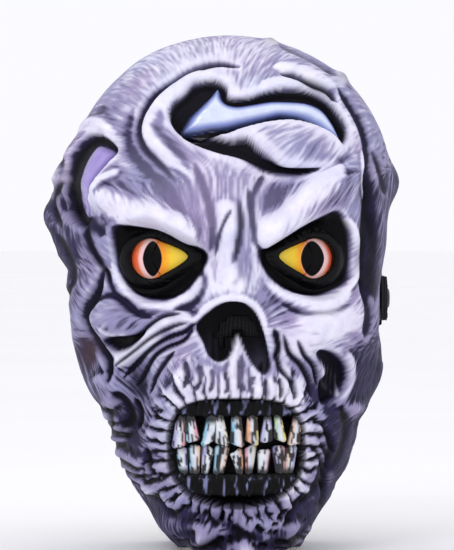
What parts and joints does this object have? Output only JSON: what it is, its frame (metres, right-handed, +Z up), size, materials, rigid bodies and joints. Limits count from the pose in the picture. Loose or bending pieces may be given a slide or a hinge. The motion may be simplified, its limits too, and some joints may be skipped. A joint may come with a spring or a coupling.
{
  "type": "latex halloween mask",
  "caption": "Three-quarter latex horror mask with a ridged skull face, lens eyes, bared teeth, foam pads and an elastic head strap with slider.",
  "frame": {"origin": "middle of the footprint, on the surface that the cut neck rim stands on", "axes": "+Z up through the crown, -Y the way the face looks, +X the wearer's left (the viewer's right)"},
  "size_m": [0.1996, 0.2299, 0.287],
  "materials": {
    "latex": "matte airbrushed latex",
    "lens": "glossy prismatic film",
    "black_plastic": "satin black",
    "gum": "satin painted latex",
    "teeth": "glossy iridescent",
    "scrim": "black mesh",
    "bone": "glossy painted",
    "temple": "satin painted",
    "foam": "open-cell foam",
    "canvas": "cotton canvas",
    "rivet": "black enamelled",
    "steel": "zinc plated",
    "webbing": "woven elastic",
    "eyelet": "nickel plated",
    "thread": "polyester thread"
  },
  "bodies": {
    "mask": {"latex_jaw": "latex", "latex_face": "latex", "latex_crown": "latex", "left_eye_lens": "lens", "right_eye_lens": "lens", "left_lens_rim": "black_plastic", "right_lens_rim": "black_plastic", "upper_gum": "gum", "lower_gum": "gum", "upper_teeth": "teeth", "lower_teeth": "teeth", "mouth_scrim": "scrim", "nose_scrim": "scrim", "forehead_bone": "bone", "temple_bone": "temple", "brow_pad": "foam", "crown_pad": "foam", "left_cheek_pad": "foam", "right_cheek_pad": "foam", "chin_pad": "foam", "left_anchor_patch": "canvas", "right_anchor_patch": "canvas", "left_rivet": "rivet", "right_rivet": "rivet", "left_washer": "steel", "right_washer": "steel", "right_spacer": "black_plastic"},
    "strap": {"strap_band": "webbing", "strap_return": "webbing", "left_eyelet": "eyelet", "right_eyelet": "eyelet", "right_tab": "webbing", "strap_ring": "black_plastic", "strap_stitching": "thread"},
    "slider": {"strap_slider": "black_plastic", "return_loop": "webbing"}
  },
  "joints": [
    {"name": "strap_swing", "type": "hinge", "parent": "mask", "child": "strap", "pos_m": [0, 0.014, 0.139], "axis": [1, 0, 0], "range_deg": [-64, 25]},
    {"name": "slider_slide", "type": "slide", "parent": "strap", "child": "slider", "axis": [1, 0, 0], "range_m": [-0.03, 0.03], "deforming": ["strap_return"]}
  ]
}
